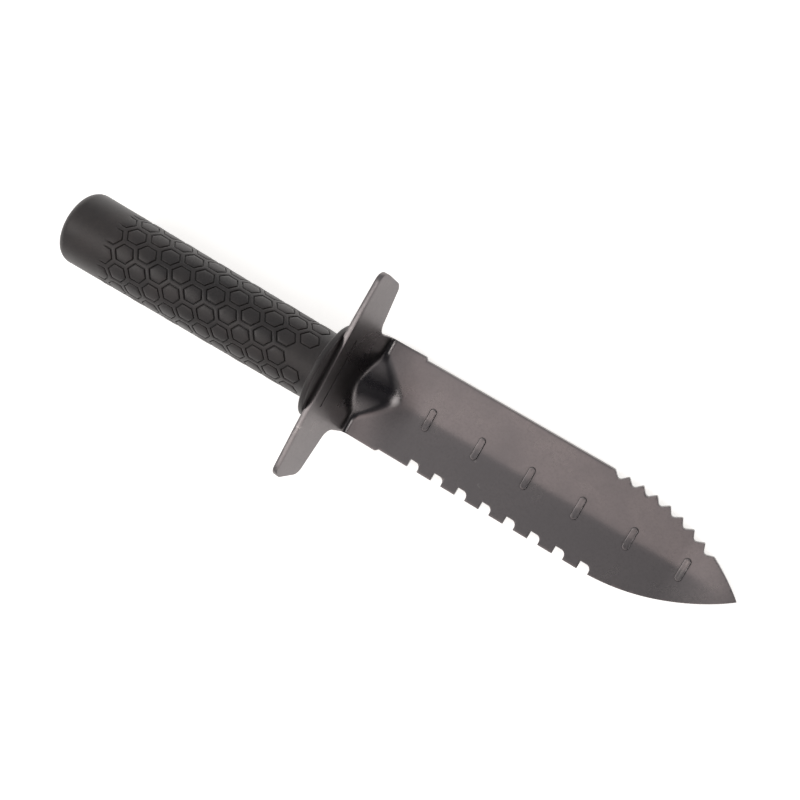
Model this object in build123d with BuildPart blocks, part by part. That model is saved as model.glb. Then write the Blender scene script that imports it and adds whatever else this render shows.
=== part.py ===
from build123d import *
from math import atan2, cos, degrees, pi, radians, sin, sqrt, tan
import os

# Serrated hand digging knife (a detecting shovel): one pressed steel sheet is both blade and
# guard, a steel tube is welded to the back of the guard, and a moulded grip covers the tube.
# Millimetres. +X runs along the handle axis to the tip of the blade, +Z is the side the guard
# stands up on, and Z = 0 is the lowest point of the blade.

os.makedirs("parts", exist_ok=True)

# ---- driving sizes -------------------------------------------------------------------------

near = 0.01                   # how close a corner lies to a place to count as there

blade_length = 187.0          # foot of the guard to the tip
handle_length = 144.0         # foot of the guard to the butt
sheet = 2.5                   # thickness of the steel sheet

blade_width = 45.5
root_margin = 1.3             # how much the unground root stands proud on each edge
root_length = 20.0            # unground root, measured from the guard's foot
crease_depth = 3.0            # depth of the trough pressed along the blade
crease_start = 26.0           # where the trough has its full depth, from the guard's foot
crease_fade = 30.0            # length over which the trough runs out at the tip
point_length = 63.0           # length of the curved point
flat_depth = 0.01             # trough depth that counts as flat, at the root and the tip

guard_span = 100.0
guard_lean = 12.5             # degrees the guard leans back from square
guard_rise = 13.0             # top of the guard above the handle axis
bend_radius = 3.5             # inside radius of the bend
axis_above_blade = 25.0       # handle axis above the flat root of the blade
wing_height_root = 23.3       # guard's top to a wing's underside, at the neck
wing_height_end = 18.9        # the same at the wing's outer end
wing_droop = 1.0              # a wing's top edge falls this much towards its end
wing_taper = 2.8              # a wing is this much shorter along its underside
wing_top_corner = 5.0
wing_under_corner = 3.0
neck_corner = 4.5

tube_diameter = 22.2
tube_wall = 1.5
weld_leg = 1.5
weld_toe = 0.1                # thickness the weld runs out to, along the tube

grip_front_diameter = 31.6
grip_butt_diameter = 34.8
grip_end_wall = 3.0
grip_end_rounding = 5.0
collar_diameter = 36.2
collar_length = 5.65          # on the handle axis, between the grip and the guard
flange_diameter = 44.4        # flange of the collar, against the grip
flange_clearance = 0.1        # between the flange and the top edge of the guard
flange_rounding = 0.8
grip_clearance = 0.05         # all round, between the tube and what is pushed over it
weld_clearance = 0.1

# ---- small features ------------------------------------------------------------------------

mark_pitch = 25.4             # one inch between depth marks, counted from the tip
mark_count = 6
mark_length = 11.0            # across the blade
mark_width = 3.0
mark_height = 0.5

tooth_count = 8               # square teeth along the -Y edge
tooth_start = 36.2            # first tooth's tip, from the guard's foot
tooth_pitch = 12.4
gullet_width = 5.2
gullet_depth = 3.7
gullet_corner = 2.4

notch_count = 8               # rounded V notches along the +Y edge of the point
notch_start = 119.4           # first notch, from the guard's foot
notch_pitch = 7.0             # measured along the edge
notch_depth = 2.7
notch_corner = 1.4
notch_side = 6.0              # side of the square corner that cuts a notch

dart_half_width = 16.0        # stiffening dart pressed across the bend
dart_flat_half_width = 4.5
dart_reach = 9.4              # along the blade, from the bend's centre
dart_rise = 12.0              # up the guard, from the blade
dart_seat = 1.0               # how far the dart's sides are sunk in the sheet

line_length = 31.0            # engraved line on the front of the guard
line_width = 0.8
line_depth = 0.3
line_height = 30.5            # above the blade
line_offset = 2.0             # its middle lies this far to +Y
line_dot = 1.6                # diameter of the round pit at each of its ends

cell_rows = 22                # rows of hexagons round the grip, every other row half a pitch on
cell_pitch = 18.1             # along a row
cells_per_row = 6
cell_band = 1.5               # plain band between neighbouring hexagons
groove_width = 0.8
groove_depth = 0.6
last_cell_inset = 9.05        # middle of the foremost cells behind the collar
grip_turn = -3.5              # degrees the pattern is turned round the handle

# ---- positions that follow ------------------------------------------------------------------

overall_length = blade_length + handle_length
tip_x = overall_length / 2
butt_x = -overall_length / 2
foot_x = tip_x - blade_length

lean_cos = cos(radians(guard_lean))
lean_sin = sin(radians(guard_lean))
lean_tan = tan(radians(guard_lean))

blade_top = crease_depth + sheet
axis_z = blade_top + axis_above_blade
guard_top = axis_z + guard_rise
bend_x = foot_x + (bend_radius + sheet) * lean_cos
bend_z = blade_top + bend_radius
half_width = blade_width / 2
root_half_width = half_width + root_margin
root_end_x = foot_x + root_length
crease_start_x = foot_x + crease_start

# back face of the guard, where it crosses the handle axis
foot_z = bend_z - (bend_radius + sheet) * lean_sin
guard_back_x = foot_x - (axis_z - foot_z) * lean_tan
guard_back = Plane(
    origin=(guard_back_x, 0, axis_z), x_dir=(0, 1, 0), z_dir=(-lean_cos, 0, -lean_sin)
)
handle_axis = Axis((0, 0, axis_z), (1, 0, 0))
collar_back_x = guard_back_x - collar_length
flange_front_x = foot_x - (guard_top - foot_z) * lean_tan - flange_clearance

tube_radius = tube_diameter / 2
tube_end_x = butt_x + grip_end_wall
grip_front_radius = grip_front_diameter / 2
grip_butt_radius = grip_butt_diameter / 2
grip_flare = (grip_butt_radius - grip_front_radius) / (collar_back_x - butt_x)


def guard_point(height, inset):
    """Point of the guard's side view, a height above the foot and an inset from its back."""
    x = foot_x - height * lean_tan + inset / lean_cos
    return (x, foot_z + height)


# ---- blade and guard: one bent and pressed sheet --------------------------------------------

# side view of the flat root, the bend and the leaning guard
bend_angles = [270, 270 - (90 - guard_lean) / 2, 180 + guard_lean]


def bend_points(radius):
    return [
        (bend_x + radius * cos(radians(a)), bend_z + radius * sin(radians(a)))
        for a in bend_angles
    ]


over_top = guard_top - foot_z + sheet
inner_bend = bend_points(bend_radius)
outer_bend = bend_points(bend_radius + sheet)

with BuildPart() as bent_strip:
    with BuildSketch(Plane.XZ):
        with BuildLine():
            Line((root_end_x, blade_top), inner_bend[0])
            ThreePointArc(*inner_bend)
            Line(inner_bend[2], guard_point(over_top, sheet))
            Line(guard_point(over_top, sheet), guard_point(over_top, 0))
            Line(guard_point(over_top, 0), outer_bend[2])
            ThreePointArc(*reversed(outer_bend))
            Line(outer_bend[0], (root_end_x, blade_top - sheet))
            Line((root_end_x, blade_top - sheet), (root_end_x, blade_top))
        make_face()
    extrude(amount=guard_span, both=True)
    # front view: a neck as wide as the root, and the two wings above it
    with BuildSketch(Plane.YZ):
        with BuildLine():
            Polyline(
                (0, -sheet),
                (root_half_width, -sheet),
                (root_half_width, guard_top - wing_height_root),
                (guard_span / 2 - wing_taper, guard_top - wing_height_end),
                (guard_span / 2, guard_top - wing_droop),
                (root_half_width, guard_top),
                (0, guard_top),
            )
            mirror(about=Plane.YZ)
        make_face()
        top_corners = [v for v in vertices() if abs(abs(v.X) - guard_span / 2) < near]
        fillet(top_corners, wing_top_corner)
        under_corners = [
            v for v in vertices() if abs(abs(v.X) - guard_span / 2 + wing_taper) < near
            and abs(v.Y - guard_top + wing_height_end) < near
        ]
        fillet(under_corners, wing_under_corner)
        neck_corners = [
            v for v in vertices() if abs(abs(v.X) - root_half_width) < near
            and abs(v.Y - guard_top + wing_height_root) < near
        ]
        fillet(neck_corners, neck_corner)
    extrude(amount=overall_length, both=True, mode=Mode.INTERSECT)


def blade_section(x, depth, lift=0.0):
    """Cross-section of the blade: a flat V of the given depth."""
    half = root_half_width
    top = blade_top + lift
    section_plane = Plane(origin=(x, 0, 0), x_dir=(0, 1, 0), z_dir=(1, 0, 0))
    with BuildSketch(section_plane) as section:
        Polygon(
            (-half, top),
            (-half, blade_top - sheet),
            (0, blade_top - sheet - depth),
            (half, blade_top - sheet),
            (half, top),
            (0, top - depth),
            align=None,
        )
    return section.sketch


def blade_sections(lift=0.0):
    """Flat at the root, a full trough along the blade, and flat again at the tip."""
    return [
        blade_section(root_end_x, flat_depth, lift),
        blade_section(crease_start_x, crease_depth, lift),
        blade_section(tip_x - crease_fade, crease_depth, lift),
        blade_section(tip_x, flat_depth, lift),
    ]


point_start_x = tip_x - point_length
outline_overlap = 1.0         # the outline starts this far behind the end of the root
point_radius = (point_length**2 + half_width**2) / (2 * half_width)


def point_edge(x):
    """Half-width of the blade in its curved point."""
    return half_width - point_radius + sqrt(point_radius**2 - (x - point_start_x) ** 2)


point_middle_x = point_start_x + point_length / 2

# plan outline, with the teeth and the serrations taken out of it
with BuildSketch() as blade_outline:
    with BuildLine():
        Polyline(
            (root_end_x - outline_overlap, 0),
            (root_end_x - outline_overlap, root_half_width),
            (root_end_x, root_half_width),
            (root_end_x + root_margin, half_width),
            (point_start_x, half_width),
        )
        ThreePointArc(
            (point_start_x, half_width), (point_middle_x, point_edge(point_middle_x)), (tip_x, 0)
        )
        mirror(about=Plane.XZ)
    make_face()
    for tooth in range(tooth_count):
        gullet_x = foot_x + tooth_start + tooth * tooth_pitch
        with BuildSketch(mode=Mode.PRIVATE) as gullet:
            with Locations((gullet_x, -half_width - gullet_depth)):
                Rectangle(gullet_width, 2 * gullet_depth, align=(Align.MIN, Align.MIN))
            inner_corner = gullet.vertices().sort_by(Axis.X)[-2:].sort_by(Axis.Y)[-1]
            fillet(inner_corner, gullet_corner)
        add(gullet.sketch, mode=Mode.SUBTRACT)
    for notch in range(notch_count):
        # notches stand square to the edge: along its straight part, then round its arc
        along_edge = foot_x + notch_start - point_start_x + notch * notch_pitch
        turn = max(along_edge, 0) / point_radius
        stand_off = notch_side / sqrt(2) - notch_corner * (sqrt(2) - 1) - notch_depth
        reach = point_radius + stand_off
        notch_place = Location(
            (
                point_start_x + min(along_edge, 0) + reach * sin(turn),
                half_width - point_radius + reach * cos(turn),
            ),
            45 - degrees(turn),
        )
        with Locations(notch_place):
            RectangleRounded(notch_side, notch_side, notch_corner, mode=Mode.SUBTRACT)

with BuildPart() as blade_body:
    loft(blade_sections(), ruled=True)
    extrude(blade_outline.sketch, amount=2 * blade_top, both=True, mode=Mode.INTERSECT)

# raised depth marks across the trough, following its surface
with BuildPart() as depth_marks:
    loft(blade_sections(lift=mark_height), ruled=True)
    with BuildSketch():
        for mark in range(1, mark_count + 1):
            with Locations((tip_x - mark * mark_pitch, 0)):
                SlotOverall(mark_length, mark_width, rotation=90)
    extrude(amount=2 * blade_top, both=True, mode=Mode.INTERSECT)


def dart_profile(offset):
    """Side view of the dart at one Y: a sloping brace over the bend."""
    with BuildSketch(Plane.XZ.offset(offset)) as profile:
        Polygon(
            (bend_x + dart_reach + dart_seat, blade_top - dart_seat),
            guard_point(dart_rise + blade_top - foot_z + dart_seat, sheet - dart_seat),
            guard_point(bend_radius / 2, sheet - dart_seat),
            (bend_x - bend_radius / 2, blade_top - dart_seat),
            align=None,
        )
    return profile.sketch


# the dart's two ends run out inside the bend, halfway through the sheet
bend_middle = radians((270 + 180 + guard_lean) / 2)
dart_root_x = bend_x + (bend_radius + sheet / 2) * cos(bend_middle)
dart_root_z = bend_z + (bend_radius + sheet / 2) * sin(bend_middle)

with BuildPart() as dart:
    extrude(dart_profile(0), amount=dart_flat_half_width, both=True)
    for side in (-1, 1):
        loft(
            [
                dart_profile(-side * dart_flat_half_width).face(),
                Vertex(dart_root_x, side * dart_half_width, dart_root_z),
            ],
            ruled=True,
        )

line_plane = Plane(
    origin=(guard_point(line_height + blade_top - foot_z, sheet)[0], line_offset,
            line_height + blade_top),
    x_dir=(0, 1, 0),
    z_dir=(lean_cos, 0, lean_sin),
)

with BuildPart() as blade_and_guard:
    add(bent_strip.part)
    add(blade_body.part)
    add(depth_marks.part)
    add(dart.part)
    with BuildSketch(line_plane):
        SlotOverall(line_length, line_width)
        with Locations((-line_length / 2, 0), (line_length / 2, 0)):
            Circle(line_dot / 2)
    extrude(amount=-line_depth, mode=Mode.SUBTRACT)

# ---- handle ---------------------------------------------------------------------------------

with BuildPart() as handle_tube:
    with BuildSketch(Plane.YZ.offset(tube_end_x)):
        with Locations((0, axis_z)):
            Circle(tube_radius)
            Circle(tube_radius - tube_wall, mode=Mode.SUBTRACT)
    extrude(amount=overall_length)
    split(bisect_by=guard_back, keep=Keep.TOP)

# ring of weld in the corner between the tube and the back of the guard
with BuildPart() as tube_weld:
    with BuildSketch(guard_back):
        Circle(tube_radius / lean_cos + weld_leg)
    with BuildSketch(guard_back.offset(weld_leg)):
        with Locations((0, -weld_leg * lean_tan)):
            Circle(tube_radius / lean_cos + weld_toe)
    loft(ruled=True)
    with BuildSketch(Plane.YZ.offset(butt_x)):
        with Locations((0, axis_z)):
            Circle(tube_radius)
    extrude(amount=overall_length, mode=Mode.SUBTRACT)

# disc welded into the butt end of the tube
with BuildPart() as tube_end_disc:
    with BuildSketch(Plane.YZ.offset(tube_end_x)):
        with Locations((0, axis_z)):
            Circle(tube_radius - tube_wall)
    extrude(amount=tube_wall)

# collar between the grip and the guard: a flange against the grip, and a boss that is cut to
# the guard's lean and hollowed over the weld
with BuildPart() as front_collar:
    with BuildSketch(Plane.YZ.offset(collar_back_x)):
        with Locations((0, axis_z)):
            Circle(collar_diameter / 2)
    extrude(amount=overall_length)
    split(bisect_by=guard_back, keep=Keep.TOP)
    with BuildPart(mode=Mode.PRIVATE) as flange:
        with BuildSketch(Plane.YZ.offset(collar_back_x)):
            with Locations((0, axis_z)):
                Circle(flange_diameter / 2)
        extrude(amount=flange_front_x - collar_back_x)
        fillet(edges().filter_by(GeomType.CIRCLE), flange_rounding)
    add(flange.part)
    with BuildSketch(Plane.YZ.offset(collar_back_x)):
        with Locations((0, axis_z)):
            Circle(tube_radius + grip_clearance)
    extrude(amount=overall_length, mode=Mode.SUBTRACT)
    with BuildSketch(guard_back):
        Circle(tube_radius / lean_cos + weld_leg + weld_clearance)
    extrude(amount=weld_leg + weld_clearance, mode=Mode.SUBTRACT)

# ---- grip: closed rubber sleeve with rings of grooved hexagons -------------------------------


def grip_radius(x):
    return grip_front_radius + grip_flare * (collar_back_x - x)


cell_half_length = cell_pitch / 3
cell_half_width = pi * (grip_front_radius + grip_butt_radius) / cell_rows
first_cell_x = collar_back_x - last_cell_inset - (cells_per_row - 1) * cell_pitch


def hexagon(inset, mode=Mode.ADD):
    """Hexagon with its points along the handle, its sides moved in by an inset."""
    half_width_in = cell_half_width - inset
    half_length_in = cell_half_length * half_width_in / cell_half_width
    Polygon(
        (half_length_in, 0),
        (half_length_in / 2, half_width_in),
        (-half_length_in / 2, half_width_in),
        (-half_length_in, 0),
        (-half_length_in / 2, -half_width_in),
        (half_length_in / 2, -half_width_in),
        mode=mode,
    )


groove_start_x = first_cell_x - cell_pitch / 2

with BuildPart() as hex_grooves:
    for row in range(cell_rows):
        turn = radians(grip_turn + row * 360 / cell_rows)
        row_plane = Plane(
            origin=(0, 0, axis_z), x_dir=(1, 0, 0), z_dir=(0, -sin(turn), cos(turn))
        )
        row_shift = -cell_pitch / 2 if row % 2 else 0
        row_cells = cells_per_row - 1 if row == 0 else cells_per_row
        with BuildSketch(row_plane.offset(tube_radius)):
            with Locations(
                [(first_cell_x + row_shift + cell * cell_pitch, 0) for cell in range(row_cells)]
            ):
                hexagon(cell_band / 2)
                hexagon(cell_band / 2 + groove_width, mode=Mode.SUBTRACT)
        extrude(amount=grip_butt_radius)
    # only a skin of the sleeve is grooved, and the rearmost half-cells fade into the butt
    with BuildSketch(Plane.XZ):
        with Locations((0, axis_z)):
            Polygon(
                (groove_start_x, grip_radius(groove_start_x) - groove_depth),
                (collar_back_x, grip_front_radius - groove_depth),
                (collar_back_x, 2 * grip_butt_radius),
                (groove_start_x, 2 * grip_butt_radius),
                align=None,
            )
    revolve(axis=handle_axis, mode=Mode.INTERSECT)

with BuildPart() as grip_sleeve:
    with BuildSketch(Plane.XZ):
        with Locations((0, axis_z)):
            Polygon(
                (butt_x, 0),
                (butt_x, grip_butt_radius),
                (collar_back_x, grip_front_radius),
                (collar_back_x, 0),
                align=None,
            )
    revolve(axis=handle_axis)
    fillet(edges().group_by(Axis.X)[0], grip_end_rounding)
    with BuildSketch(Plane.YZ.offset(tube_end_x)):
        with Locations((0, axis_z)):
            Circle(tube_radius + grip_clearance)
    extrude(amount=overall_length, mode=Mode.SUBTRACT)
    add(hex_grooves.part, mode=Mode.SUBTRACT)

# ---- files ----------------------------------------------------------------------------------

pieces = {
    "blade_and_guard": blade_and_guard,
    "handle_tube": handle_tube,
    "tube_weld": tube_weld,
    "tube_end_disc": tube_end_disc,
    "front_collar": front_collar,
    "grip_sleeve": grip_sleeve,
}

for name, piece in pieces.items():
    piece.part.label = name
    export_step(piece.part, f"parts/{name}.step")
    box = piece.part.bounding_box()
    print(name, len(piece.part.solids()), round(piece.part.volume), box.min, box.max)
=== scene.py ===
import math

import bmesh
import bpy
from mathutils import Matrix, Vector


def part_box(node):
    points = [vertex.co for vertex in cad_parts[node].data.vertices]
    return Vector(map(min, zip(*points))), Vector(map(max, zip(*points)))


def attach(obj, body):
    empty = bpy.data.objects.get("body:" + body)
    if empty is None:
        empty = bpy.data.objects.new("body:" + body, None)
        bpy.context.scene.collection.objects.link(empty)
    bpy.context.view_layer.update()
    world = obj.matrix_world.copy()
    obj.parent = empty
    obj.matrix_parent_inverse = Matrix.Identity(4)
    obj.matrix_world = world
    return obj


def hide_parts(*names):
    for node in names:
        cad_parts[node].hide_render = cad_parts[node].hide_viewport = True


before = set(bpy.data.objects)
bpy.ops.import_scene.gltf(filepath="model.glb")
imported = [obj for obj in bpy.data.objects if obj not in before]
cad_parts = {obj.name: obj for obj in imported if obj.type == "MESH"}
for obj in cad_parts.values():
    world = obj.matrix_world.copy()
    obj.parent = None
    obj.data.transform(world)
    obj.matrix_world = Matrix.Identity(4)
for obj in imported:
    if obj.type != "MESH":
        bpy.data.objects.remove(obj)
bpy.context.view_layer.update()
mm = 0.001                      # metres
near = 0.001                    # millimetres; closer than this is the same place


def corners(node):
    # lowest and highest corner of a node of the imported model, in millimetres
    return [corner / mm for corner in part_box(node)]


bladeHigh = corners("blade_and_guard")[1]
tubeLow, tubeHigh = corners("handle_tube")
gripLow, gripHigh = corners("grip_sleeve")
collarLow, collarHigh = corners("front_collar")
axisZ = (tubeLow.z + tubeHigh.z) / 2        # height of the handle's axis
print("frame loaded")


# small helpers around the operators

def deselectEverything():
    if bpy.context.object and bpy.context.object.mode != "OBJECT":
        bpy.ops.object.mode_set(mode="OBJECT")
    bpy.ops.object.select_all(action="DESELECT")


def makeActive(piece):
    deselectEverything()
    piece.select_set(True)
    bpy.context.view_layer.objects.active = piece


def editMesh(piece, mode="EDGE"):
    makeActive(piece)
    bpy.ops.object.mode_set(mode="EDIT")
    bpy.ops.mesh.select_mode(type=mode)
    bpy.ops.mesh.select_all(action="DESELECT")


def pick(piece, wanted, mode="EDGE"):
    # selects vertices or edges by their place; the piece is in edit mode
    bpy.ops.mesh.select_mode(type=mode)
    bpy.ops.mesh.select_all(action="DESELECT")
    mesh = bmesh.from_edit_mesh(piece.data)
    parts = {"VERT": mesh.verts, "EDGE": mesh.edges}[mode]
    for part in parts:
        if wanted(part):
            part.select_set(True)
    mesh.select_flush_mode()
    bmesh.update_edit_mesh(piece.data)


def middle(edge):
    return (edge.verts[0].co + edge.verts[1].co) / 2


def along(edge):
    return (edge.verts[0].co - edge.verts[1].co).normalized()


def isUpright(edge):
    return abs(along(edge).z) > 0.9


def isCrosswise(edge):
    return abs(along(edge).x) < 0.5


def isLengthwise(edge):
    return abs(along(edge).y) < 0.5


def bevelWhere(piece, wanted, width, segments):
    editMesh(piece)
    pick(piece, wanted)
    bpy.ops.mesh.bevel(offset=width, segments=segments, affect="EDGES")
    bpy.ops.object.mode_set(mode="OBJECT")


def addBox(low, high, name):
    deselectEverything()
    size = Vector(high) - Vector(low)
    centre = (Vector(high) + Vector(low)) / 2
    bpy.ops.mesh.primitive_cube_add(size=1, location=centre, scale=size)
    box = bpy.context.object
    box.name = name
    bpy.ops.object.transform_apply(location=True, rotation=True, scale=True)
    return box


def addRod(start, length, radius, sides, name):
    # upright rod standing on its start point
    deselectEverything()
    place = Vector(start) + Vector((0, 0, length / 2))
    bpy.ops.mesh.primitive_cylinder_add(vertices=sides, radius=radius, depth=length, location=place)
    rod = bpy.context.object
    rod.name = name
    bpy.ops.object.transform_apply(location=True, rotation=True, scale=True)
    return rod


def combine(piece, other, operation):
    makeActive(piece)
    step = piece.modifiers.new("combine", "BOOLEAN")
    step.operation = operation
    step.solver = "EXACT"
    step.object = other
    bpy.ops.object.modifier_apply(modifier="combine")
    bpy.data.objects.remove(other, do_unlink=True)


def joinAll(pieces):
    deselectEverything()
    for piece in pieces:
        piece.select_set(True)
    bpy.context.view_layer.objects.active = pieces[0]
    bpy.ops.object.join()
    return bpy.context.object


def sliceAcross(piece, direction, places):
    # straight cuts through the whole mesh, so that it can be bent smoothly
    editMesh(piece)
    for place in places:
        bpy.ops.mesh.select_all(action="SELECT")
        bpy.ops.mesh.bisect(plane_co=Vector(direction) * place, plane_no=direction)
    bpy.ops.object.mode_set(mode="OBJECT")


def evenSteps(first, last, step):
    count = max(1, round((last - first) / step))
    return [first + (last - first) * i / count for i in range(count)]


def smoothStep(value, low, high):
    # 0 at low and 1 at high, whichever of them is the larger
    t = min(max((value - low) / (high - low), 0), 1)
    return t * t * (3 - 2 * t)


def softAbs(value, softness):
    # a V with a rounded bottom
    return math.hypot(value, softness) - softness


def placeVertices(piece, place):
    # every vertex goes where the function says, from millimetres to metres
    for vertex in piece.data.vertices:
        vertex.co = Vector(place(vertex.co)) * mm
    piece.data.update()


def finishMesh(piece, smoothAngle):
    makeActive(piece)
    bpy.ops.object.mode_set(mode="EDIT")
    bpy.ops.mesh.select_all(action="SELECT")
    bpy.ops.mesh.remove_doubles(threshold=near * mm)
    bpy.ops.mesh.normals_make_consistent(inside=False)
    bpy.ops.object.mode_set(mode="OBJECT")
    bpy.ops.object.shade_smooth_by_angle(angle=math.radians(smoothAngle))


# materials

def addNode(tree, kind, **values):
    node = tree.nodes.new(kind)
    for key, value in values.items():
        if key in node.inputs:
            node.inputs[key].default_value = value
        else:
            setattr(node, key, value)
    return node


def mixValues(tree, mask, first, second, kind):
    # a Mix node keeps other sockets for numbers than for colours
    firstIn, secondIn, out = {"FLOAT": (2, 3, 0), "RGBA": (6, 7, 2)}[kind]
    mix = addNode(tree, "ShaderNodeMix", data_type=kind)
    tree.links.new(mask, mix.inputs[0])
    for socket, value in ((mix.inputs[firstIn], first), (mix.inputs[secondIn], second)):
        if isinstance(value, bpy.types.NodeSocket):
            tree.links.new(value, socket)
        else:
            socket.default_value = (*value, 1.0) if kind == "RGBA" else value
    return mix.outputs[out]


def mixColours(tree, mask, first, second):
    return mixValues(tree, mask, first, second, "RGBA")


def mixNumbers(tree, mask, first, second):
    return mixValues(tree, mask, first, second, "FLOAT")


def makeGroup(name, inputs, outputs):
    group = bpy.data.node_groups.new(name, "ShaderNodeTree")
    for label, kind, value in inputs:
        socket = group.interface.new_socket(label, in_out="INPUT", socket_type=kind)
        if value is not None:
            socket.default_value = value
    for label, kind in outputs:
        group.interface.new_socket(label, in_out="OUTPUT", socket_type=kind)
    start = group.nodes.new("NodeGroupInput")
    end = group.nodes.new("NodeGroupOutput")
    return group, start, end


wearAndGrooveShade = {
    # the next two give the pointiness range where shade is painted into the bottoms of grooves
    "grooveShadeStart": 0.49,        # pointiness; lower is more hollow
    "grooveShadeEnd": 0.42,
    "breakupLow": 0.35,         # of the noise that interrupts the worn edges
    "breakupHigh": 0.6,
}

speckle = {"Low": 0.45, "High": 0.7}


def buildEdgeWearAndGrooveShade():
    # one mask for rubbed outer edges, broken up by noise, and one of painted shade for the bottoms
    # of grooves
    group, start, end = makeGroup(
        "edgeWearAndGrooveShade",
        [("Vector", "NodeSocketVector", None), ("Start", "NodeSocketFloat", 0.52),
         ("End", "NodeSocketFloat", 0.6), ("Breakup Scale", "NodeSocketFloat", 300.0)],
        [("Mask", "NodeSocketFloat"), ("GrooveShade", "NodeSocketFloat")],
    )
    link = group.links.new
    geometry = addNode(group, "ShaderNodeNewGeometry")
    # painted shade: hollow places, found by pointiness
    hollow = addNode(group, "ShaderNodeMapRange")
    hollow.inputs["From Min"].default_value = wearAndGrooveShade["grooveShadeStart"]
    hollow.inputs["From Max"].default_value = wearAndGrooveShade["grooveShadeEnd"]
    link(geometry.outputs["Pointiness"], hollow.inputs["Value"])
    link(hollow.outputs["Result"], end.inputs["GrooveShade"])
    sharpness = addNode(group, "ShaderNodeMapRange")
    link(geometry.outputs["Pointiness"], sharpness.inputs["Value"])
    link(start.outputs["Start"], sharpness.inputs["From Min"])
    link(start.outputs["End"], sharpness.inputs["From Max"])
    noise = addNode(group, "ShaderNodeTexNoise", Detail=4.0, Roughness=0.6)
    link(start.outputs["Vector"], noise.inputs["Vector"])
    link(start.outputs["Breakup Scale"], noise.inputs["Scale"])
    patches = addNode(group, "ShaderNodeMapRange")
    patches.inputs["From Min"].default_value = wearAndGrooveShade["breakupLow"]
    patches.inputs["From Max"].default_value = wearAndGrooveShade["breakupHigh"]
    link(noise.outputs["Fac"], patches.inputs["Value"])
    both = addNode(group, "ShaderNodeMath", operation="MULTIPLY")
    link(sharpness.outputs["Result"], both.inputs[0])
    link(patches.outputs["Result"], both.inputs[1])
    link(both.outputs[0], end.inputs["Mask"])
    return group


def buildGrain():
    # fine and coarse grain as one height
    group, start, end = makeGroup(
        "surfaceGrain",
        [("Vector", "NodeSocketVector", None), ("Fine Scale", "NodeSocketFloat", 4000.0),
         ("Coarse Scale", "NodeSocketFloat", 400.0), ("Coarse Share", "NodeSocketFloat", 0.4)],
        [("Height", "NodeSocketFloat")],
    )
    link = group.links.new
    heights = []
    for scale in ("Fine Scale", "Coarse Scale"):
        noise = addNode(group, "ShaderNodeTexNoise", Detail=2.0, Roughness=0.55)
        link(start.outputs["Vector"], noise.inputs["Vector"])
        link(start.outputs[scale], noise.inputs["Scale"])
        heights.append(noise.outputs["Fac"])
    height = mixNumbers(group, start.outputs["Coarse Share"], *heights)
    link(height, end.inputs["Height"])
    return group


def buildSmudges():
    # wide soft patches, as handling and soil leave them
    group, start, end = makeGroup(
        "smudges",
        [("Vector", "NodeSocketVector", None), ("Scale", "NodeSocketFloat", 30.0),
         ("Low", "NodeSocketFloat", 0.35), ("High", "NodeSocketFloat", 0.65)],
        [("Mask", "NodeSocketFloat")],
    )
    link = group.links.new
    noise = addNode(group, "ShaderNodeTexNoise", Detail=5.0, Roughness=0.62, Distortion=0.4)
    link(start.outputs["Vector"], noise.inputs["Vector"])
    link(start.outputs["Scale"], noise.inputs["Scale"])
    fit = addNode(group, "ShaderNodeMapRange")
    link(noise.outputs["Fac"], fit.inputs["Value"])
    link(start.outputs["Low"], fit.inputs["From Min"])
    link(start.outputs["High"], fit.inputs["From Max"])
    link(fit.outputs["Result"], end.inputs["Mask"])
    return group


edgeWearAndGrooveShade = buildEdgeWearAndGrooveShade()
surfaceGrain = buildGrain()
smudges = buildSmudges()


def useGroup(tree, group, coordinates, **values):
    node = tree.nodes.new("ShaderNodeGroup")
    node.node_tree = group
    for key, value in values.items():
        node.inputs[key].default_value = value
    tree.links.new(coordinates.outputs["Object"], node.inputs["Vector"])
    return node


def makeMaterial(name, look):
    # shared layout: smudged and speckled base, rubbed edges, painted shade darkening the grooves,
    # grain as bump
    material = bpy.data.materials.new(name)
    material.use_nodes = True
    tree = material.node_tree
    shader = tree.nodes["Principled BSDF"]
    place = addNode(tree, "ShaderNodeTexCoord")
    patch = useGroup(tree, smudges, place, Scale=look["smudgeScale"])
    speck = useGroup(tree, smudges, place, Scale=look["speckScale"], **speckle)
    wornAndShaded = useGroup(tree, edgeWearAndGrooveShade, place, Start=look["wearStart"], End=look["wearEnd"])
    colour = mixColours(tree, patch.outputs["Mask"], look["colour"], look["smudgeColour"])
    colour = mixColours(tree, speck.outputs["Mask"], colour, look["speckColour"])
    colour = mixColours(tree, wornAndShaded.outputs["Mask"], colour, look["wornColour"])
    # painted shade: the hollows are darkened
    colour = mixColours(tree, wornAndShaded.outputs["GrooveShade"], colour, look["grooveShadeColour"])
    rough = mixNumbers(tree, patch.outputs["Mask"], look["roughness"], look["smudgeRoughness"])
    rough = mixNumbers(tree, wornAndShaded.outputs["Mask"], rough, look["wornRoughness"])
    tree.links.new(colour, shader.inputs["Base Color"])
    tree.links.new(rough, shader.inputs["Roughness"])
    grain = useGroup(
        tree, surfaceGrain, place,
        **{"Fine Scale": look["fineGrain"], "Coarse Scale": look["coarseGrain"],
           "Coarse Share": look["coarseShare"]},
    )
    bump = addNode(tree, "ShaderNodeBump", Strength=look["bump"], Distance=look["bumpDepth"])
    tree.links.new(grain.outputs["Height"], bump.inputs["Height"])
    tree.links.new(bump.outputs["Normal"], shader.inputs["Normal"])
    shader.inputs["Metallic"].default_value = look["metallic"]
    return material


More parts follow.
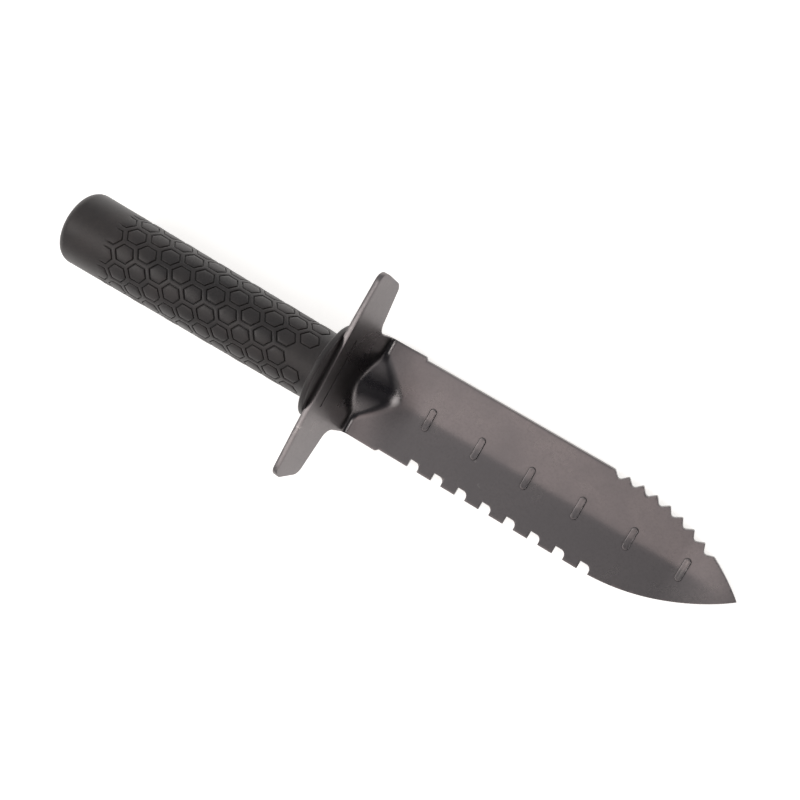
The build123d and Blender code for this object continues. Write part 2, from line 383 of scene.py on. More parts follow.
bladeSteel = makeMaterial("blastedBladeSteel", {
    "colour": (0.195, 0.178, 0.178),
    "smudgeColour": (0.172, 0.160, 0.162),
    "speckColour": (0.165, 0.153, 0.153),
    "wornColour": (0.32, 0.30, 0.29),
    # painted shade at the bottoms of grooves
    "grooveShadeColour": (0.14, 0.13, 0.13),
    "roughness": 0.26,
    "smudgeRoughness": 0.33,
    "wornRoughness": 0.22,
    "metallic": 1.0,
    "smudgeScale": 34.0,
    "speckScale": 900.0,
    "wearStart": 0.55,
    "wearEnd": 0.66,
    "fineGrain": 5200.0,
    "coarseGrain": 900.0,
    "coarseShare": 0.35,
    "bump": 0.25,
    "bumpDepth": 0.0001,
})

tubeSteel = makeMaterial("mildTubeSteel", {
    "colour": (0.36, 0.35, 0.34),
    "smudgeColour": (0.26, 0.22, 0.19),
    "speckColour": (0.20, 0.16, 0.13),
    "wornColour": (0.5, 0.5, 0.5),
    # painted shade at the bottoms of grooves
    "grooveShadeColour": (0.12, 0.10, 0.09),
    "roughness": 0.4,
    "smudgeRoughness": 0.6,
    "wornRoughness": 0.3,
    "metallic": 1.0,
    "smudgeScale": 60.0,
    "speckScale": 700.0,
    "wearStart": 0.53,
    "wearEnd": 0.62,
    "fineGrain": 3000.0,
    "coarseGrain": 500.0,
    "coarseShare": 0.5,
    "bump": 0.3,
    "bumpDepth": 0.0002,
})

gripRubber = makeMaterial("blackGripRubber", {
    "colour": (0.0115, 0.0095, 0.0095),
    "smudgeColour": (0.036, 0.029, 0.027),
    "speckColour": (0.026, 0.021, 0.021),
    "wornColour": (0.050, 0.043, 0.041),
    # painted shade at the bottoms of grooves
    "grooveShadeColour": (0.003, 0.0025, 0.0025),
    "roughness": 0.36,
    "smudgeRoughness": 0.47,
    "wornRoughness": 0.36,
    "metallic": 0.0,
    "smudgeScale": 38.0,
    "speckScale": 1200.0,
    "wearStart": 0.52,
    "wearEnd": 0.62,
    "fineGrain": 2600.0,
    "coarseGrain": 600.0,
    "coarseShare": 0.3,
    "bump": 0.35,
    "bumpDepth": 0.00015,
})

collarRubber = makeMaterial("blackCollarRubber", {
    "colour": (0.026, 0.0225, 0.022),
    "smudgeColour": (0.036, 0.031, 0.030),
    "speckColour": (0.030, 0.026, 0.026),
    "wornColour": (0.060, 0.054, 0.052),
    # painted shade at the bottoms of grooves
    "grooveShadeColour": (0.008, 0.007, 0.007),
    "roughness": 0.38,
    "smudgeRoughness": 0.47,
    "wornRoughness": 0.34,
    "metallic": 0.0,
    "smudgeScale": 60.0,
    "speckScale": 1400.0,
    "wearStart": 0.52,
    "wearEnd": 0.62,
    "fineGrain": 3200.0,
    "coarseGrain": 800.0,
    "coarseShare": 0.3,
    "bump": 0.25,
    "bumpDepth": 0.0001,
})
print("materials ready")


def dressIn(piece, material):
    piece.data.materials.clear()
    piece.data.materials.append(material)


# blade and guard: one steel sheet, cut flat, pressed and bent

sheet = {
    "thickness": 2.5,
    "bladeLength": 187.0,       # foot of the guard to the tip
    "bladeWidth": 45.5,
    "rootMargin": 1.3,          # unground root, proud of the blade on each edge
    "rootLength": 20.0,
    "pointLength": 63.0,
    "pointSteps": 36,
    "bendRadius": 3.5,
    "lean": 12.5,               # degrees the guard leans back
    "guardSpan": 100.0,         # before its corners are rounded
    "wingHeightRoot": 23.3,
    "wingHeightEnd": 18.9,
    "wingDroop": 1.0,           # the top edge falls this much towards each end
    "wingTaper": 2.8,           # a wing is this much shorter along its underside
    "wingTopCorner": 5.0,
    "wingUnderCorner": 3.0,
    "neckCorner": 4.5,
    "tipPinch": 0.0001,         # share of the last step's width that the tip keeps
    "edgeBreak": 0.4,
    "edgeAngle": 40,            # degrees; only sharper edges are broken
    "troughDepth": 3.0,
    "troughStart": 1.0,         # from the end of the bend
    "troughFull": 30.0,         # from the foot, where the trough has its depth
    "troughEnd": 30.0,          # from the tip, where the trough starts to run out
    "creaseSoftness": 2.2,
    "rootSoftness": 6.0,        # what the root adds to it
    "softUntil": 12.0,          # from the foot, where that starts to fade
    "sharpFrom": 32.0,          # and where it is gone
    "dartHalfWidth": 16.5,
    "dartReach": 12.2,          # from the corner of the bend, along both legs
    "dartRidge": 2.5,           # softness of the ridge
    "dartPower": 1.25,          # over 1 bulges the dart's outline
    "dartFillet": 2.0,
    "dartFadeInside": 0.5,      # the dart's ends run out from here
    "dartFadeOutside": 1.5,     # to here
    "smoothAngle": 35,
}

grid = {
    "wings": 1.5,               # steps across the sheet
    "dart": 0.7,
    "guard": 2.0,               # steps along the sheet
    "aboveBend": 0.8,
    "bend": 0.4,
    "aheadOfBend": 0.6,
    "blade": 1.3,
    "dartMargin": 2.0,          # how far the finer steps reach
    "aboveReach": 18.0,
    "aheadReach": 16.0,
}

teeth = {
    "count": 8,
    "start": 36.2,
    "pitch": 12.4,
    "width": 5.2,
    "depth": 3.7,
    "corner": 2.4,
}

notches = {
    "count": 8,
    "start": 119.4,
    "pitch": 7.0,               # along the edge
    "depth": 2.7,
    "side": 6.0,                # of the square corner that cuts a notch
    "corner": 1.4,
}

marks = {
    "count": 6,
    "pitch": 25.4,
    "length": 11.2,
    "width": 3.4,
    "height": 0.5,
    "sunk": 1.0,                # into the sheet, so that they join it
    "rim": 0.45,
}

guardLine = {
    "length": 31.0,
    "width": 0.8,
    "depth": 0.3,
    "height": 30.5,             # above the blade
    "offset": 2.0,
    "dot": 1.6,                 # round pit at each end
    "dotSides": 20,
    "headroom": 1.0,            # of the cutters, over the face
}

leanAngle = math.radians(sheet["lean"])
bendAngle = math.pi / 2 - leanAngle
bendLength = sheet["bendRadius"] * bendAngle
bladeTop = sheet["troughDepth"] + sheet["thickness"]
footX = bladeHigh.x - sheet["bladeLength"]
bendX = footX + (sheet["bendRadius"] + sheet["thickness"]) * math.cos(leanAngle)
bendEndZ = bladeTop + sheet["bendRadius"] * (1 - math.cos(bendAngle))
guardLength = (bladeHigh.z - bendEndZ) / math.cos(leanAngle)
halfWidth = sheet["bladeWidth"] / 2
rootHalfWidth = halfWidth + sheet["rootMargin"]
guardHalfSpan = sheet["guardSpan"] / 2
guardTopU = -bendLength - guardLength
pointStartU = bladeHigh.x - sheet["pointLength"] - bendX
tipU = bladeHigh.x - bendX
pointRadius = (sheet["pointLength"] ** 2 + halfWidth ** 2) / (2 * halfWidth)
footZ = bladeTop + sheet["bendRadius"]      # where the guard's back face starts, at footX
footZ -= (sheet["bendRadius"] + sheet["thickness"]) * math.sin(leanAngle)
neckTopU = guardTopU + sheet["wingHeightRoot"] / math.cos(leanAngle)
wingUnderSpan = sheet["guardSpan"] - 2 * sheet["wingTaper"]


def pointHalfWidth(u):
    reach = max(u - pointStartU, 0)
    return halfWidth - pointRadius + math.sqrt(pointRadius ** 2 - reach ** 2)


def fromFoot(distance):
    # along the flat blank, from the guard's foot
    return footX + distance - bendX


def drawOut(blank, endU, newU, scaleAcross):
    # carries the outline on from one end edge, wider or narrower
    pick(blank, lambda edge: abs(middle(edge).x - endU) < near and isCrosswise(edge))
    bpy.ops.mesh.extrude_region_move(TRANSFORM_OT_translate={"value": (newU - endU, 0, 0)})
    bpy.ops.transform.resize(value=(1, scaleAcross, 1))


def drawBlade():
    # the root first, then the blade and the middle of the guard drawn out of its end edges
    rootEnd = fromFoot(sheet["rootLength"])
    deselectEverything()
    bpy.ops.mesh.primitive_plane_add(size=1, location=((neckTopU + rootEnd) / 2, 0, 0))
    blank = bpy.context.object
    blank.name = "bladeGuard"
    blank.scale = (rootEnd - neckTopU, 2 * rootHalfWidth, 1)
    bpy.ops.object.transform_apply(location=True, rotation=True, scale=True)
    editMesh(blank)
    shoulder = rootEnd + sheet["rootMargin"]
    drawOut(blank, rootEnd, shoulder, halfWidth / rootHalfWidth)
    drawOut(blank, shoulder, pointStartU, 1)
    steps = [pointStartU + (tipU - pointStartU) * i / sheet["pointSteps"]
             for i in range(sheet["pointSteps"])]
    for here, there in zip(steps[:-1], steps[1:]):
        drawOut(blank, here, there, pointHalfWidth(there) / pointHalfWidth(here))
    drawOut(blank, steps[-1], tipU, sheet["tipPinch"])
    drawOut(blank, neckTopU, guardTopU, 1)
    return blank


def drawWings(blank):
    # out of the guard's sides; their undersides rise outwards and their tops droop
    def isWingEnd(vertex, u):
        return abs(vertex.co.x - u) < near and abs(vertex.co.y) > guardHalfSpan - near

    underRise = (sheet["wingHeightRoot"] - sheet["wingHeightEnd"]) / math.cos(leanAngle)
    topDroop = sheet["wingDroop"] / math.cos(leanAngle)
    pick(blank, lambda edge: middle(edge).x < neckTopU - near and isLengthwise(edge))
    bpy.ops.mesh.extrude_region_move(TRANSFORM_OT_translate={"value": (0, 0, 0)})
    bpy.ops.transform.resize(value=(1, guardHalfSpan / rootHalfWidth, 1))
    pick(blank, lambda vertex: isWingEnd(vertex, neckTopU), "VERT")
    bpy.ops.transform.translate(value=(-underRise, 0, 0))
    bpy.ops.transform.resize(value=(1, wingUnderSpan / sheet["guardSpan"], 1))
    pick(blank, lambda vertex: isWingEnd(vertex, guardTopU), "VERT")
    bpy.ops.transform.translate(value=(topDroop, 0, 0))


def giveThickness(blank):
    # downwards, so that the upper face stays where it was drawn
    bpy.ops.mesh.select_mode(type="FACE")
    bpy.ops.mesh.select_all(action="SELECT")
    bpy.ops.mesh.remove_doubles(threshold=near)
    bpy.ops.mesh.select_all(action="SELECT")
    bpy.ops.mesh.extrude_region_move(
        TRANSFORM_OT_translate={"value": (0, 0, -sheet["thickness"])},
    )
    bpy.ops.mesh.select_all(action="SELECT")
    bpy.ops.mesh.normals_make_consistent(inside=False)
    bpy.ops.object.mode_set(mode="OBJECT")


def roundGuardCorners(blank):
    for halfSpan, corner in (
        (guardHalfSpan, sheet["wingTopCorner"]),
        (wingUnderSpan / 2, sheet["wingUnderCorner"]),
        (rootHalfWidth, sheet["neckCorner"]),
    ):
        bevelWhere(blank, lambda edge: isUpright(edge) and middle(edge).x < neckTopU + near
                   and abs(abs(middle(edge).y) - halfSpan) < near, corner, 8)


def cutBlank():
    blank = drawBlade()
    drawWings(blank)
    giveThickness(blank)
    roundGuardCorners(blank)
    return blank


cutterHalfHeight = 2 * sheet["thickness"]   # enough to pass right through


def makeGullet(tooth):
    # square slot before each tooth, with one rounded inner corner
    low = Vector((fromFoot(teeth["start"] + tooth * teeth["pitch"]), -halfWidth - teeth["depth"],
                  -cutterHalfHeight))
    high = Vector((low.x + teeth["width"], -halfWidth + teeth["depth"], cutterHalfHeight))
    gullet = addBox(low, high, "gullet")
    bevelWhere(gullet, lambda edge: isUpright(edge)
               and (middle(edge) - high).to_2d().length < 10 * near, teeth["corner"], 6)
    return gullet


def makeNotch(notch):
    # rounded V, square to the edge: along its straight part, then round its arc
    halfSide = notches["side"] / 2
    cornerLoss = notches["corner"] * (math.sqrt(2) - 1)
    reach = pointRadius + halfSide * math.sqrt(2) - cornerLoss - notches["depth"]
    alongEdge = fromFoot(notches["start"]) - pointStartU + notch * notches["pitch"]
    turn = max(alongEdge, 0) / pointRadius
    cutter = addBox((-halfSide, -halfSide, -cutterHalfHeight),
                    (halfSide, halfSide, cutterHalfHeight), "notch")
    bevelWhere(cutter, isUpright, notches["corner"], 6)
    cutter.rotation_euler = (0, 0, math.pi / 4 - turn)
    cutter.location = (pointStartU + min(alongEdge, 0) + reach * math.sin(turn),
                       halfWidth - pointRadius + reach * math.cos(turn), 0)
    makeActive(cutter)
    bpy.ops.object.transform_apply(location=True, rotation=True, scale=True)
    return cutter


def makeEdgeCutters():
    gullets = [makeGullet(tooth) for tooth in range(teeth["count"])]
    return joinAll(gullets + [makeNotch(notch) for notch in range(notches["count"])])


def makePill(u, v, length, width, low, high, rim, name):
    # upright block with round ends, lying across the blade
    nearlyRound = 0.998         # the two corners of an end don't quite meet
    pill = addBox((u - width / 2, v - length / 2, low), (u + width / 2, v + length / 2, high), name)
    bevelWhere(pill, isUpright, width / 2 * nearlyRound, 8)
    if rim:
        bevelWhere(pill, lambda edge: middle(edge).z > high - near, rim, 3)
    return pill


def makeMarks():
    return joinAll([
        makePill(tipU - mark * marks["pitch"], 0, marks["length"], marks["width"],
                 -marks["sunk"], marks["height"], marks["rim"], "mark")
        for mark in range(1, marks["count"] + 1)
    ])


def troughDrop(u, v):
    # how far the trough sinks the sheet: a soft V across, running out at both ends
    depth = sheet["troughDepth"] * smoothStep(u, sheet["troughStart"], fromFoot(sheet["troughFull"]))
    depth *= 1 - smoothStep(u, tipU - sheet["troughEnd"], tipU)
    rootShare = smoothStep(u, fromFoot(sheet["sharpFrom"]), fromFoot(sheet["softUntil"]))
    softness = sheet["creaseSoftness"] + sheet["rootSoftness"] * rootShare
    full = softAbs(rootHalfWidth, softness)
    return depth * max(0, 1 - softAbs(v, softness) / full)


def bentPoint(u):
    # along the blade, round the bend, then up the guard
    radius = sheet["bendRadius"]
    if u >= 0:
        return bendX + u, bladeTop
    turn = min(-u / radius, bendAngle)
    rise = max(-u - bendLength, 0)
    return (bendX - radius * math.sin(turn) - rise * math.cos(bendAngle),
            bladeTop + radius * (1 - math.cos(turn)) + rise * math.sin(bendAngle))


def formedPoint(u, v):
    # where a point of the blank's upper face lies once the sheet is pressed and bent
    x, z = bentPoint(u)
    if u >= 0:
        z -= troughDrop(u, v)
    # the dart lifts the bend towards the middle of the corner
    inward = (math.pi - bendAngle) / 2
    cornerX = bendX - sheet["bendRadius"] * math.tan(bendAngle / 2)
    level = (x - cornerX) * math.cos(inward) + (z - bladeTop) * math.sin(inward)
    ridge, halfDart = sheet["dartRidge"], sheet["dartHalfWidth"]
    outward = softAbs(v, ridge) / softAbs(halfDart, ridge)
    dartLevel = sheet["dartReach"] * math.cos(inward) * (1 - outward ** sheet["dartPower"])
    overlap = max(sheet["dartFillet"] - abs(level - dartLevel), 0)
    lifted = max(level, dartLevel) + overlap ** 2 / (4 * sheet["dartFillet"])
    lift = (lifted - level) * smoothStep(abs(v), halfDart + sheet["dartFadeOutside"],
                                         halfDart - sheet["dartFadeInside"])
    return Vector((x + lift * math.cos(inward), v, z + lift * math.sin(inward)))


def formSheet(flat):
    # the sheet's thickness stands square to its formed upper face
    tiny = 0.01
    here = formedPoint(flat.x, flat.y)
    lengthways = formedPoint(flat.x + tiny, flat.y) - formedPoint(flat.x - tiny, flat.y)
    across = formedPoint(flat.x, flat.y + tiny) - formedPoint(flat.x, flat.y - tiny)
    return here + lengthways.cross(across).normalized() * flat.z


def breakEdges(blank):
    makeActive(blank)
    softened = blank.modifiers.new("edgeBreak", "BEVEL")
    softened.width = sheet["edgeBreak"]
    softened.segments = 2
    softened.limit_method = "ANGLE"
    softened.angle_limit = math.radians(sheet["edgeAngle"])
    bpy.ops.object.modifier_apply(modifier="edgeBreak")


def engraveLine(blank):
    lineU = -bendLength - (bladeTop + guardLine["height"] - bendEndZ) / math.cos(leanAngle)
    groove = makePill(lineU, guardLine["offset"], guardLine["length"], guardLine["width"],
                      -guardLine["depth"], guardLine["headroom"], 0, "line")
    combine(blank, groove, "DIFFERENCE")
    for side in (-1, 1):
        pitV = guardLine["offset"] + side * guardLine["length"] / 2
        pit = addRod((lineU, pitV, -guardLine["depth"]),
                     guardLine["headroom"] + guardLine["depth"],
                     guardLine["dot"] / 2, guardLine["dotSides"], "pit")
        combine(blank, pit, "DIFFERENCE")


def cutGrid(blank):
    # fine where the sheet bends and rises into the dart, coarser elsewhere
    dartEdge = sheet["dartHalfWidth"] + grid["dartMargin"]
    aboveU = -bendLength - grid["aboveReach"]
    aheadU = grid["aheadReach"]
    for direction, first, last, step in (
        ((0, 1, 0), -guardHalfSpan, -dartEdge, grid["wings"]),
        ((0, 1, 0), -dartEdge, dartEdge, grid["dart"]),
        ((0, 1, 0), dartEdge, guardHalfSpan, grid["wings"]),
        ((1, 0, 0), guardTopU, aboveU, grid["guard"]),
        ((1, 0, 0), aboveU, -bendLength, grid["aboveBend"]),
        ((1, 0, 0), -bendLength, 0, grid["bend"]),
        ((1, 0, 0), 0, aheadU, grid["aheadOfBend"]),
        ((1, 0, 0), aheadU, tipU, grid["blade"]),
    ):
        sliceAcross(blank, direction, evenSteps(first, last, step))


def buildBladeGuard():
    blank = cutBlank()
    combine(blank, makeEdgeCutters(), "DIFFERENCE")
    breakEdges(blank)
    combine(blank, makeMarks(), "UNION")
    engraveLine(blank)
    print("blank cut:", len(blank.data.polygons), "faces")
    cutGrid(blank)
    placeVertices(blank, formSheet)
    finishMesh(blank, sheet["smoothAngle"])
    dressIn(blank, bladeSteel)
    return blank


bladeGuard = buildBladeGuard()
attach(bladeGuard, "root")
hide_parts("blade_and_guard")
print("blade and guard formed:", len(bladeGuard.data.polygons), "faces")


# grip: a sheet of hexagons wrapped round the handle

grip = {
    "rows": 22,
    "pitch": 18.1,              # along a row
    "cellsPerRow": 6,
    "plainBehind": 3,           # cells without a groove, in each row
    "plainAhead": 2,
    "cellSlices": 3,            # each half of a cell is cut into these, so that it bends
    "band": 1.5,                # between neighbouring grooves, from the middle of their lips
    "grooveWidth": 0.8,         # between the middles of its lips
    "grooveDepth": 0.6,
    "grooveLip": 0.14,
    "crown": 0.12,              # of the inside of a hexagon
    "crownEdge": 0.9,           # the strip where it rises most
    "crownSlope": 1.2,
    "crownEdgeShare": 0.7,      # of the crown's height
    "patternFade": 1.2,         # behind the rearmost grooves
    "lastInset": 9.05,          # foremost cells, from the collar
    "turn": -3.5,               # degrees
    "frontRadius": 15.8,
    "endRounding": 5.0,
    "roundingStep": 0.8,        # between the cuts that let it bend
    "roundingPast": 0.7,        # how far they go past it
    "endZone": 1.0,             # an open edge this near an end belongs to it
    "buttInset": 3.0,
    "endWall": 3.0,
    "weldGap": 0.02,            # closer points of neighbouring cells become one
    "boreRadius": 11.15,
    "smoothAngle": 40,
}

gripRadius = (gripHigh.z - gripLow.z) / 2
gripFlare = (gripRadius - grip["frontRadius"]) / (gripHigh.x - gripLow.x)
cellLength = grip["pitch"] * 2 / 3
rowWidth = math.pi * (gripRadius + grip["frontRadius"]) / grip["rows"]
firstCellX = gripHigh.x - grip["lastInset"] - (grip["cellsPerRow"] - 1) * grip["pitch"]
grooveStartX = firstCellX - grip["pitch"] / 2


def grooveProfile():
    # inset and rise of each ring, from the cell's edge inwards: band, groove, crown
    lip = grip["grooveLip"]
    gentle = 0.3 * lip          # a lip is a gentle ring, then a steeper one
    steep = lip - gentle
    wall = grip["grooveDepth"] - lip
    floor = grip["grooveWidth"] - 4 * lip
    edgeRise = grip["crown"] * grip["crownEdgeShare"]
    return (
        (grip["band"] / 2 - lip, 0),
        (lip, -gentle), (lip, -steep), (lip, -wall),
        (floor, 0),
        (lip, wall), (lip, steep), (lip, gentle),
        (grip["crownEdge"], edgeRise), (grip["crownSlope"], grip["crown"] - edgeRise),
    )


def makeCell(grooved):
    # a hexagon with its point along the handle, stretched so that the rows close round it
    deselectEverything()
    bpy.ops.mesh.primitive_circle_add(vertices=6, radius=cellLength / 2, fill_type="NGON",
                                      rotation=(0, 0, math.pi / 6))
    cell = bpy.context.object
    bpy.ops.object.transform_apply(location=True, rotation=True, scale=True)
    cell.scale = (1, rowWidth / (cellLength / 2 * math.cos(math.pi / 6)), 1)
    bpy.ops.object.transform_apply(location=True, rotation=True, scale=True)
    editMesh(cell, "FACE")
    bpy.ops.mesh.select_all(action="SELECT")
    bpy.ops.mesh.normals_make_consistent(inside=False)
    if grooved:
        for inset, rise in grooveProfile():
            bpy.ops.mesh.inset(thickness=inset, depth=rise)
    bpy.ops.object.mode_set(mode="OBJECT")
    slices = grip["cellSlices"]
    sliceAcross(cell, (0, 1, 0), [rowWidth * i / slices for i in range(1 - slices, slices)])
    return cell


def layCells():
    # every second row lies half a pitch back, and the first one has a hexagon less
    grooved, plain = makeCell(True), makeCell(False)
    laid = []
    for row in range(grip["rows"]):
        shift = -grip["pitch"] / 2 if row % 2 else 0
        cells = grip["cellsPerRow"] - 1 if row == 0 else grip["cellsPerRow"]
        for column in range(-grip["plainBehind"], grip["cellsPerRow"] + grip["plainAhead"]):
            model = grooved if 0 <= column < cells else plain
            copy = model.copy()
            copy.data = model.data.copy()
            copy.location = (firstCellX + shift + column * grip["pitch"], row * rowWidth, 0)
            bpy.context.collection.objects.link(copy)
            laid.append(copy)
    for model in (grooved, plain):
        bpy.data.objects.remove(model, do_unlink=True)
    cover = joinAll(laid)
    cover.name = "grip"
    bpy.ops.object.transform_apply(location=True, rotation=True, scale=True)
    return cover


roundingStartX = gripLow.x + grip["endRounding"]
coverEndX = roundingStartX - grip["endRounding"] * math.pi / 2


def wrapCover(flat):
    # along the cone, then round the butt's edge; the sheet's height stands off the surface
    turn = math.radians(grip["turn"]) + flat.y / rowWidth * 2 * math.pi / grip["rows"]
    if flat.x > roundingStartX:
        x, radius, outX, outR = flat.x, gripRadius - gripFlare * (flat.x - gripLow.x), 0, 1
    else:
        bend = (roundingStartX - flat.x) / grip["endRounding"]
        startRadius = gripRadius - gripFlare * grip["endRounding"]
        outX, outR = -math.sin(bend), math.cos(bend)
        x = roundingStartX + grip["endRounding"] * outX
        radius = startRadius - grip["endRounding"] * (1 - outR)
    x += outX * flat.z
    radius += outR * flat.z
    return (x, -radius * math.sin(turn), axisZ + radius * math.cos(turn))


def trimCover(cover):
    editMesh(cover)
    for place, outer in ((gripHigh.x, True), (coverEndX, False)):
        bpy.ops.mesh.select_all(action="SELECT")
        bpy.ops.mesh.bisect(plane_co=(place, 0, 0), plane_no=(1, 0, 0),
                            clear_outer=outer, clear_inner=not outer)
    bpy.ops.object.mode_set(mode="OBJECT")
    cuts = evenSteps(coverEndX, roundingStartX + grip["roundingPast"], grip["roundingStep"])[1:]
    sliceAcross(cover, (1, 0, 0), [grooveStartX, grooveStartX - grip["patternFade"]] + cuts)
    # smooth behind the pattern
    for vertex in cover.data.vertices:
        if vertex.co.x < grooveStartX - 10 * near:
            vertex.co.z = 0


def closeButt(cover):
    zoneEnd = (gripLow.x + grip["endZone"]) * mm
    pick(cover, lambda edge: edge.is_boundary and middle(edge).x < zoneEnd)
    bpy.ops.mesh.edge_face_add()
    bpy.ops.mesh.select_mode(type="FACE")
    bpy.ops.mesh.inset(thickness=grip["buttInset"] * mm, depth=0)


def hollowFront(cover):
    # the front edge turns in to the bore, and the bore ends before the butt
    zoneStart = (gripHigh.x - grip["endZone"]) * mm
    pick(cover, lambda edge: edge.is_boundary and middle(edge).x > zoneStart)
    bpy.ops.mesh.extrude_region_move(TRANSFORM_OT_translate={"value": (0, 0, 0)})
    inwards = grip["boreRadius"] / grip["frontRadius"]
    bpy.ops.transform.resize(value=(1, inwards, inwards),
                             center_override=(gripHigh.x * mm, 0, axisZ * mm))
    boreLength = gripHigh.x - gripLow.x - grip["endWall"]
    bpy.ops.mesh.extrude_region_move(TRANSFORM_OT_translate={"value": (-boreLength * mm, 0, 0)})
    bpy.ops.mesh.edge_face_add()


def buildGrip():
    cover = layCells()
    trimCover(cover)
    placeVertices(cover, wrapCover)
    editMesh(cover)
    bpy.ops.mesh.select_all(action="SELECT")
    bpy.ops.mesh.remove_doubles(threshold=grip["weldGap"] * mm)
    closeButt(cover)
    hollowFront(cover)
    bpy.ops.object.mode_set(mode="OBJECT")
    finishMesh(cover, grip["smoothAngle"])
    dressIn(cover, gripRubber)
    return cover


gripCover = buildGrip()
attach(gripCover, "root")
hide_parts("grip_sleeve")
print("grip wrapped:", len(gripCover.data.polygons), "faces")


# collar: a flange against the grip, and a boss cut to the guard's lean

collar = {
    "bossRadius": 18.1,
    "bore": 11.15,
    "clearance": 0.1,           # between the flange and the guard's top edge
    "flangeRim": 0.8,
    "bossRim": 0.4,
    "sides": 128,
    "overlap": 1.0,             # of the boss and the flange
    "overrun": 5.0,             # of the boss and the bore before they are cut
    "smoothAngle": 40,
}


def addRing(radius, low, high, name):
    deselectEverything()
    bpy.ops.mesh.primitive_cylinder_add(
        vertices=collar["sides"], radius=radius, depth=high - low, rotation=(0, math.pi / 2, 0),
        location=((low + high) / 2, 0, axisZ))
    ring = bpy.context.object
    ring.name = name
    bpy.ops.object.transform_apply(location=True, rotation=True, scale=True)
    return ring


def makeFlange():
    radius = (collarHigh.z - collarLow.z) / 2
    guardTopX = footX - (bladeHigh.z - footZ) * math.tan(leanAngle)
    flange = addRing(radius, collarLow.x, guardTopX - collar["clearance"], "collar")
    bevelWhere(flange, isCrosswise, collar["flangeRim"], 4)
    return flange


def makeBoss():
    # reaches the back face of the guard
    square = Vector((math.cos(leanAngle), 0, math.sin(leanAngle)))
    guardBack = Vector((footX, 0, footZ))
    boss = addRing(collar["bossRadius"], collarLow.x + collar["overlap"],
                   collarHigh.x + collar["overrun"], "boss")
    editMesh(boss)
    bpy.ops.mesh.select_all(action="SELECT")
    bpy.ops.mesh.bisect(plane_co=guardBack, plane_no=square, use_fill=True, clear_outer=True)
    bevelWhere(boss, lambda edge: all(abs((vertex.co - guardBack).dot(square)) < 10 * near
                                      for vertex in edge.verts), collar["bossRim"], 4)
    return boss


def buildCollar():
    ring = makeFlange()
    combine(ring, makeBoss(), "UNION")
    bore = addRing(collar["bore"], collarLow.x - collar["overrun"],
                   collarHigh.x + collar["overrun"], "bore")
    combine(ring, bore, "DIFFERENCE")
    placeVertices(ring, Vector)         # only from millimetres to metres
    finishMesh(ring, collar["smoothAngle"])
    dressIn(ring, collarRubber)
    return ring


collarRing = buildCollar()
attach(collarRing, "root")
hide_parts("front_collar")
print("collar turned:", len(collarRing.data.polygons), "faces")


# tube, weld and end disc stay as they are, in their own steel

for name in ("handle_tube", "tube_weld", "tube_end_disc"):
    dressIn(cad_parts[name], tubeSteel)


# floor, light and camera

studio = {
    "floorSize": 6.0,
    "floorDrop": 0.0002,                 # clear of the blade's underside
    "floorColour": (0.9, 0.9, 0.9),
    "floorRoughness": 0.8,
    "glowColour": (1.0, 0.98, 0.95),
    "floorGlow": 0.7,
    "darkWay": (0.88, -0.12, 0.46),      # the unlit side of the room, ahead of the tip
    "darkEdge": 0.74,                    # how nearly a direction is the dark way
    "brightEdge": 0.38,
    "skyDark": (0.035, 0.036, 0.045),
    "skyBright": (0.60, 0.60, 0.61),
    "backdrop": (0.92, 0.92, 0.92),      # what the camera sees past the floor
}

softboxes = {
    "keySoftbox": {
        "place": (-0.1, -0.75, 1.6),
        "size": (1.3, 1.1),
        "watts": 3.4,
        "colour": (1.0, 0.86, 0.82),
    },
    "backSoftbox": {
        "place": (-1.3, -0.3, 1.7),
        "size": (0.9, 0.9),
        "watts": 7,
        "colour": (1.0, 0.96, 0.93),
    },
    "frontSoftbox": {
        "place": (0.9, -0.2, 1.3),
        "size": (0.45, 0.35),
        "watts": 2.6,
        "colour": (1.0, 1.0, 0.98),
    },
}

view = {
    "place": (0.09995, 0.07158, 0.52231),
    "turn": (-1.110, 13.447, 29.619),    # degrees about X, Y and Z
    "lens": 53.591,
    "sensor": 36,
    "nearest": 0.01,
}


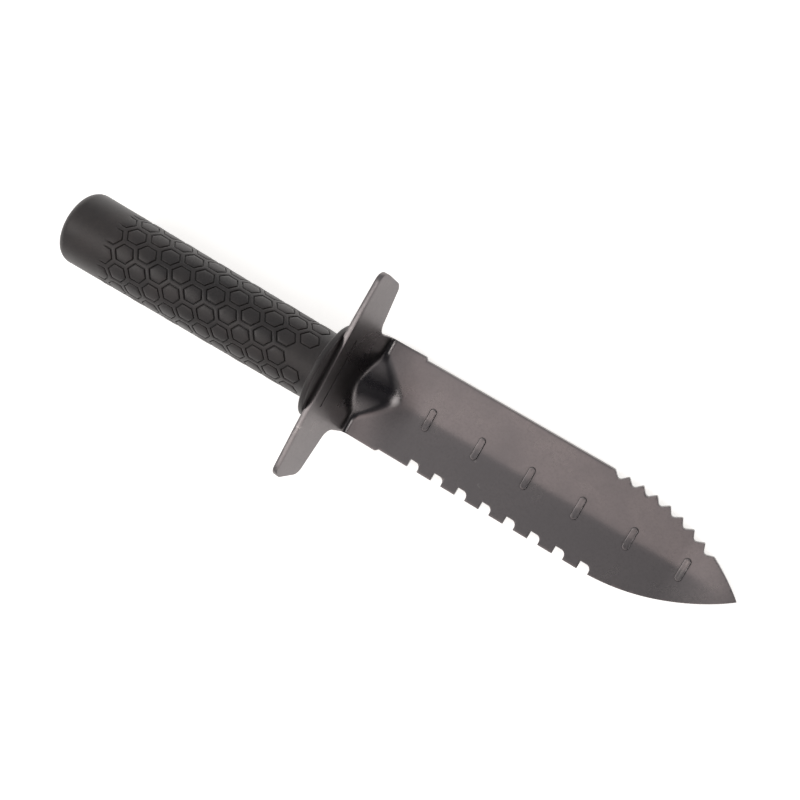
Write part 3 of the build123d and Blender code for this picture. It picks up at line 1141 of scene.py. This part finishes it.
def buildFloor():
    deselectEverything()
    bpy.ops.mesh.primitive_plane_add(size=studio["floorSize"],
                                     location=(0, 0, -studio["floorDrop"]))
    floor = bpy.context.object
    floor.name = "floor"
    paint = bpy.data.materials.new("floorPaint")
    paint.use_nodes = True
    shader = paint.node_tree.nodes["Principled BSDF"]
    shader.inputs["Base Color"].default_value = (*studio["floorColour"], 1)
    shader.inputs["Roughness"].default_value = studio["floorRoughness"]
    shader.inputs["Emission Color"].default_value = (*studio["glowColour"], 1)
    shader.inputs["Emission Strength"].default_value = studio["floorGlow"]
    floor.data.materials.append(paint)


def addLight(name, box):
    # a rectangle of light that faces the middle of the tool
    deselectEverything()
    bpy.ops.object.light_add(type="AREA", location=box["place"])
    lamp = bpy.context.object
    lamp.name = name
    lamp.data.shape = "RECTANGLE"
    lamp.data.size, lamp.data.size_y = box["size"]
    lamp.data.energy = box["watts"]
    lamp.data.color = box["colour"]
    lamp.rotation_euler = (-Vector(box["place"])).to_track_quat("-Z", "Y").to_euler()


def buildRoom():
    # even soft light from the room, but dark ahead of the tip
    room = bpy.data.worlds.new("studio")
    room.use_nodes = True
    tree = room.node_tree
    link = tree.links.new
    background = tree.nodes["Background"]
    way = addNode(tree, "ShaderNodeTexCoord")
    toDark = addNode(tree, "ShaderNodeVectorMath", operation="DOT_PRODUCT")
    toDark.inputs[1].default_value = studio["darkWay"]
    link(way.outputs["Generated"], toDark.inputs[0])
    fade = addNode(tree, "ShaderNodeMapRange", interpolation_type="SMOOTHSTEP")
    fade.inputs["From Min"].default_value = studio["darkEdge"]
    fade.inputs["From Max"].default_value = studio["brightEdge"]
    link(toDark.outputs["Value"], fade.inputs["Value"])
    sky = mixColours(tree, fade.outputs["Result"], studio["skyDark"], studio["skyBright"])
    seen = addNode(tree, "ShaderNodeLightPath")
    colour = mixColours(tree, seen.outputs["Is Camera Ray"], sky, studio["backdrop"])
    link(colour, background.inputs["Color"])
    bpy.context.scene.world = room


def buildCamera():
    deselectEverything()
    bpy.ops.object.camera_add(location=view["place"],
                              rotation=[math.radians(angle) for angle in view["turn"]])
    camera = bpy.context.object
    camera.data.sensor_width = view["sensor"]
    camera.data.lens = view["lens"]
    camera.data.clip_start = view["nearest"]
    bpy.context.scene.camera = camera


buildFloor()
for name, box in softboxes.items():
    addLight(name, box)
buildRoom()
buildCamera()
bpy.context.scene.view_settings.view_transform = "Standard"     # keeps the white floor white
print("studio set")
